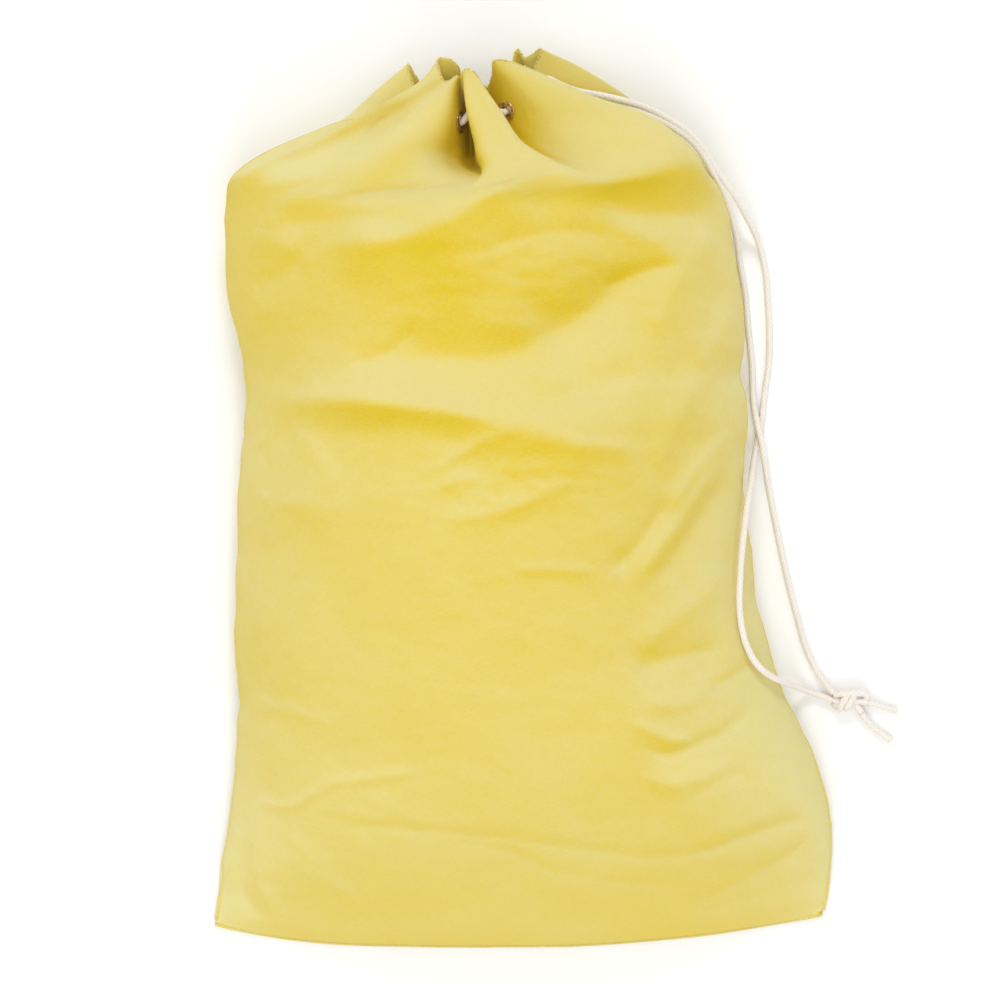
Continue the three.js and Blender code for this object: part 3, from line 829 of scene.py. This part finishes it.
def hem_piece(name, first, last):
    """The turned-over edge: over the rim and down the inside, with a rough fold."""
    columns = columns_from(first, last)
    start = np.searchsorted(rows, rows[-1] - HEM_DEPTH)
    inner = grid[start:, columns] - HEM_CLEAR * normals[start:, columns]
    rim = grid[-1, columns]
    up = unit(rim - grid[-2, columns])
    rough = np.array([noise.noise(Vector((c * 0.9, 3.3, 0))) for c in range(first, last + 1)])
    crest = rim + up * (0.7 + 0.6 * rough)[:, None] - 0.9 * normals[-1, columns]
    lip = rim + up * 0.3 - 0.1 * normals[-1, columns]
    over = grid[-2, columns] - 0.3 * normals[-2, columns]
    points = np.concatenate([inner, crest[None], lip[None], over[None]])
    count = len(columns)
    faces = []
    for r in range(len(points) - 1):
        for c in range(count - 1):
            low = r * count + c
            high = low + count
            if start + r >= ALONG or not cut[min(start + r, ALONG - 2), columns[c]]:
                faces.append((low, high, high + 1, low + 1))
    heights = np.concatenate([rows[start:], rows[-1] + np.array([2, 4, 6])])
    verts = points.reshape(-1, 3) * MM
    obj = mesh_object(name, verts, faces, CANVAS, cloth_uv(heights, first, last))
    # painted shade on the cloth turned down inside the mouth
    inside = fade[start:, columns] * INSIDE_SHADE_SCALE - INSIDE_SHADE_LOSS
    edge = np.repeat(fade[-1:, columns], 3, axis=0)
    set_painted_shading(obj, np.concatenate([inside, edge]))
    thicken(obj, HEM_THICK)
    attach(obj, "bag")
    return obj


front = canvas_piece("front_canvas", 0, HALF)
back = canvas_piece("back_canvas", HALF, AROUND)
front_hem = hem_piece("front_hem_fold", 0, HALF)
back_hem = hem_piece("back_hem_fold", HALF, AROUND)
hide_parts("front_panel")
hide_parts("back_panel")
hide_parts("front_hem")
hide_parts("back_hem")

# ---------------------------------------------------------------- seams and thread
SEAM_BEAD = 1.5
SEAM_STITCH = 3.6       # between the stitches that pull it in
BEAD_STEP = 3.5
BOTTOM_HEIGHT = 2.2     # of the bottom seam's middle over the floor
OVERLOCK_PITCH = 2.3
TUBE_UV_RADIUS = 3      # one for all tubes, so that their grain is the same size
THREAD_STEP = 0.7


def wave(s, length):
    """A cosine along a path, with the given wavelength."""
    return np.cos(2 * math.pi * s / length)


def turns_of(sides):
    return 2 * math.pi * np.arange(sides) / sides


def tube(name, path, radius, material, sides=10):
    """A capped tube along a path; its radius is a function of the length along it and the turn."""
    path = np.asarray(path, float)
    tangent = unit(np.gradient(path, axis=0))
    side = np.zeros_like(path)
    reference = np.array([0.0, 0.0, 1.0])
    if abs(tangent[0] @ reference) > 0.9:
        reference = np.array([1.0, 0.0, 0.0])
    side[0] = unit(np.cross(tangent[0], reference))
    for i in range(1, len(path)):
        side[i] = unit(side[i - 1] - tangent[i] * (side[i - 1] @ tangent[i]))
    other = np.cross(tangent, side)
    turn = turns_of(sides)
    s = lengths_along(path)
    r = radius(s[:, None], turn[None]) * np.ones((len(path), sides))
    points = (path[:, None] + side[:, None] * (r * np.cos(turn))[..., None]
              + other[:, None] * (r * np.sin(turn))[..., None])
    verts = np.concatenate([points.reshape(-1, 3), path[:1], path[-1:]])
    faces = grid_faces(len(path), sides)
    first_cap = len(verts) - 2
    last_ring = first_cap - sides
    for k in range(sides):
        after = (k + 1) % sides
        faces.append((first_cap, after, k))
        faces.append((first_cap + 1, last_ring + k, last_ring + after))
    round_it = turn[None] * TUBE_UV_RADIUS
    uvs = np.stack([np.broadcast_to(s[:, None], r.shape), np.broadcast_to(round_it, r.shape)], 2)
    uvs = np.concatenate([uvs.reshape(-1, 2), [[0, 0], [s[-1], 0]]])
    return mesh_object(name, verts * MM, faces, material, uvs * MM)


def seam_bead(name, points, node):
    """The sewn edge that stands a little proud where two panels meet."""

    def bead(s, turn):
        return SEAM_BEAD + 0.25 * wave(s, SEAM_STITCH)

    obj = tube(name, smooth_path(points, BEAD_STEP), bead, SEAM)
    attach(obj, "bag")
    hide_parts(node)


def rim_thread(name, first, last):
    """The overlocked edge: thread wound over the rim of the hem."""
    columns = columns_from(first, last)
    path = smooth_path(grid[-1, columns] - 0.5 * normals[-1, columns], THREAD_STEP)

    def loops(s, turn):
        drift = 1.6 * wave(s, 17.3) + 1.1 * wave(s, 7.1)
        return 0.5 + 0.5 * np.cos(2 * math.pi / OVERLOCK_PITCH * s + turn + drift)

    def wound(s, turn):
        return 0.8 + 0.7 * loops(s, turn) + 0.25 * wave(s, 11.7) + 0.2 * wave(s, 5.3)

    obj = tube(name, path, wound, THREAD)
    # painted shade between the thread's loops
    raised = smooth_step(0.2, 0.55, loops(lengths_along(path)[:, None], turns_of(10)[None]))
    set_painted_shading(obj, np.concatenate([raised.ravel(), [0.5, 0.5]]))
    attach(obj, "bag")


def bottom_edge():
    """The line between the lowest rows of the front and the back."""
    every_third = range(0, HALF + 1, 3)
    line = (grid[0, list(every_third)] + grid[0, [-c % AROUND for c in every_third]]) / 2
    line[:, 2] = np.maximum(line[:, 2], BOTTOM_HEIGHT)
    return line


for name, column, node in (("left_seam_edge", 0, "left_side_seam"),
                           ("right_seam_edge", HALF, "right_side_seam")):
    seam_bead(name, grid[2:-1:3, column] - 0.6 * normals[2:-1:3, column], node)
seam_bead("bottom_seam_edge", bottom_edge(), "bottom_seam")
rim_thread("front_rim_thread", 0, HALF)
rim_thread("back_rim_thread", HALF, AROUND)

# ---------------------------------------------------------------- grommets
GROMMET_SIDES = 40


def lathe(name, profile, place, axis, material):
    """A closed ring turned about an axis; the profile is made of (radius, height)."""
    turn = Vector((0, 0, 1)).rotation_difference(Vector(axis)).to_matrix()
    verts = []
    for k in range(GROMMET_SIDES):
        angle = 2 * math.pi * k / GROMMET_SIDES
        for r, h in profile:
            verts.append(turn @ Vector((r * math.cos(angle), r * math.sin(angle), h)) + Vector(place))
    count = len(profile)
    faces = []
    for k in range(GROMMET_SIDES):
        here = k * count
        beside = (k + 1) % GROMMET_SIDES * count
        for j in range(count):
            up = (j + 1) % count
            faces.append((here + j, beside + j, beside + up, here + up))
    return mesh_object(name, np.array(verts) * MM, faces, material)


def ring_profile():
    """Rolled lip in the hole, a domed flange, and the barrel through the cloth."""
    lip = [(5.0 + 1.1 * (1 - math.cos(a)), 0.9 * math.sin(a) + 0.75)
           for a in np.linspace(0, math.pi / 2, 6)]
    dome = [(6.1 + 4.4 * k, 1.65 - 1.0 * k ** 2.2) for k in np.linspace(0.15, 1, 7)]
    return [(5.0, -2.2)] + lip + dome + [(10.6, 0.25), (10.2, 0.05), (5.9, 0.05), (5.7, -2.2)]


def washer_profile():
    return [(5.9, -2.6), (9.6, -2.4), (10.1, -1.9), (9.6, -1.5), (5.9, -1.5)]


for seat in seats:
    n = seat["number"]
    ring = lathe(f"grommet_ring_{n}", ring_profile(), seat["place"], seat["facing"], BRASS)
    washer = lathe(f"grommet_back_{n}", washer_profile(), seat["place"], seat["facing"], BRASS)
    for obj, node in ((ring, f"grommet_{n}"), (washer, f"grommet_washer_{n}")):
        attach(obj, "bag")
        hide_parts(node)

# ---------------------------------------------------------------- cords
CORD_RADIUS = 3.25
CORD_SIDES = 24
CORD_STEP = 0.9
CARRIERS = 4            # bundles of yarn in each of the braid's two families
BRAID_PITCH = 11.0
JUNCTION = np.array([1.7, 384, 74])     # where the cord leaves the hem
EXIT_WAY = np.array([0.355, 0.935, 0])  # and the way it leaves
STACK = 3.5             # how far each strand is above or below the middle of the two
STRAND_OVER = [
    (1.7, 384, 70.5), (5.2, 393.2, 70.5), (9.4, 404.2, 70.5), (15.2, 411.2, 70.5), (23, 411.5, 70.5),
    (34, 405.8, 70.5), (49, 399.2, 70.5), (81, 389.8, 70.8), (115.8, 378.6, 72), (147.6, 363, 71),
    (166, 349, 67), (179.6, 331.6, 60), (191.8, 310.4, 49), (203.6, 284.4, 33), (211.4, 258.4, 17),
    (215.4, 234, 6.6), (220.4, 208, 3.6), (223.4, 173.5, 3.6), (227.4, 136, 3.6), (228.6, 98, 6.4),
    (231.6, 79, 10.6), (235.6, 61, 12), (239.6, 39, 9.6), (244, 14, 4), (249, -12, 3.6),
    (258.7, -60, 3.6), (273.4, -118.6, 3.6), (280.3, -143, 3.6), (290.1, -165.6, 3.6),
    (300.4, -181.4, 5), (308, -190.4, 7.6),
]
STRAND_UNDER = [
    (1.7, 384, 77.5), (5.2, 393.2, 77.5), (9.4, 404.2, 77.5), (15.2, 411.2, 77.5), (23, 411.6, 77.5),
    (34, 406.5, 77.5), (49, 400.1, 77.4), (82, 393.8, 76), (118, 384.2, 73), (149.6, 367.6, 71),
    (166, 354.6, 67), (178, 340.6, 61), (190.6, 323, 52), (207.6, 301, 38), (221.6, 279, 22),
    (233.4, 256, 9), (240.6, 229, 3.6), (243, 200, 3.6), (244.6, 173.5, 3.6), (244, 136, 3.6),
    (240.1, 107.8, 3.6), (236.8, 79.4, 3.6), (232.4, 58, 4), (228, 38, 14), (223.6, 17, 43),
    (217, -20, 61), (211.5, -68, 78), (210.5, -108, 84.5), (216, -137, 82.5), (227, -158, 75.5),
    (243, -171.5, 61), (258.6, -178.4, 38), (271, -184, 15), (286, -189.5, 5), (298, -193.8, 4.4),
    (307.4, -197.4, 5),
]
KNOT = np.array([325, -198, 0])
KNOT_TURNS = 2
TAIL_UPPER = [(341.9, -199.4, 6), (349, -201.2, 4.4), (359, -204.2, 3.6), (371.4, -207.8, 3.6)]
TAIL_LOWER = [(335.8, -210.4, 5.2), (340.8, -217.2, 4.2), (352.2, -228, 3.6), (366, -237.4, 3.6)]


def braid(s, turn):
    """The two crossing families of bundles that show as slanted ribs."""
    twist = math.pi * s / BRAID_PITCH * CARRIERS
    return np.maximum(np.cos(CARRIERS * turn + twist), np.cos(CARRIERS * turn - twist))


def braided(name, points, radius=CORD_RADIUS, flare=None):
    """A braided cord along a curve through the points, with its ribs in the mesh."""

    def ribbed(s, turn):
        grown = radius * (0.925 + 0.065 * braid(s, turn))
        return grown * flare(s / s.max()) if flare else grown

    line = smooth_path(points, CORD_STEP)
    obj = tube(name, line, ribbed, CORD, CORD_SIDES)
    ribs = braid(lengths_along(line)[:, None], turns_of(CORD_SIDES)[None])
    # painted shade in the hollows between the braid's ribs
    set_painted_shading(obj, np.concatenate([(0.5 + 0.5 * ribs).ravel(), [0.4, 0.4]]))
    return obj, line


def frayed_end(k):
    """Wider towards the cut end, then rounded off; k is the share of the way along."""
    rounding = 1 - ((k - 0.965) / 0.045).clip(0) ** 2
    return (1 + 0.2 * smooth_step(0.55, 0.97, k)) * np.sqrt(np.clip(rounding, 0.3, 1))


def knot_paths():
    """An overhand knot of both strands: one lies along it, the other wraps round it twice."""
    core = [(-17.6, 0.6, 5), (-9, 0.5, 6.2), (0, 0.2, 6.6), (9, -0.6, 6.4), (16.9, -1.4, 6)]
    wrap = [(-17, 6.6, 7.6), (-9, 7.4, 9.6), (0, 7.9, 10.6), (7, 8.3, 9.6), (12.6, 7.8, 8.2),
            (16.2, 4.8, 7), (14.6, 1.8, 4.6), (9, -0.5, 3.7)]
    for k in np.linspace(0, 1, 17):
        angle = -2.2 - 2 * math.pi * KNOT_TURNS * k
        c = math.cos(angle)
        wrap.append((2.5 - 15 * k + 5.4 * c, -0.6 + 6.8 * c, 7.4 + 4.0 * math.sin(angle)))
    wrap += [(-12.5, -3.5, 7), (-7, -2.6, 5.4), (1, -3.2, 4.8), (6.4, -6.2, 5), (10.8, -12.4, 5.2)]
    return np.array(core) + KNOT, np.array(wrap) + KNOT


core_path, wrap_path = knot_paths()
knot_core, _ = braided("knot_core", core_path, 3.3)
knot_wrap, _ = braided("knot_wraps", wrap_path, 3.65)
tail_upper, _ = braided("tail_upper_end", TAIL_UPPER, 3.3, frayed_end)
tail_lower, _ = braided("tail_lower_end", TAIL_LOWER, 3.3, frayed_end)
strand_over, over_line = braided("drawcord_over", STRAND_OVER)
strand_under, under_line = braided("drawcord_under", STRAND_UNDER)
for obj in (knot_core, knot_wrap, tail_upper, tail_lower, strand_over, strand_under):
    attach(obj, "drawcord")
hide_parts("cord_knot")
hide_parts("tail_upper")
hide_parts("tail_lower")
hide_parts("strand_over")
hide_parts("strand_under")

MOUTH_MIDDLE = np.array([-42, 375, 74])


def hem_cord_path():
    """The length inside the hem: from one strand round the mouth, by every grommet, to the other."""

    def turn_of(seat):
        x, _, z = seat["place"] - MOUTH_MIDDLE
        return math.atan2(z, x) % (2 * math.pi)

    ring = [tuple(seat["place"]) for seat in sorted(seats, key=turn_of)]
    above, below = ([tuple(JUNCTION - back * EXIT_WAY + (0, 0, lift)) for back in (0.5, 4)]
                    for lift in (STACK, -STACK))
    return above + ring + below[::-1]


hem_cord, _ = braided("cord_in_hem", hem_cord_path())
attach(hem_cord, "bag")
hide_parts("hem_cord")

# ---------------------------------------------------------------- floor
floor = mesh_object("floor", [(-6, -6, 0), (6, -6, 0), (6, 6, 0), (-6, 6, 0)], [(0, 1, 2, 3)],
                    floor_material())
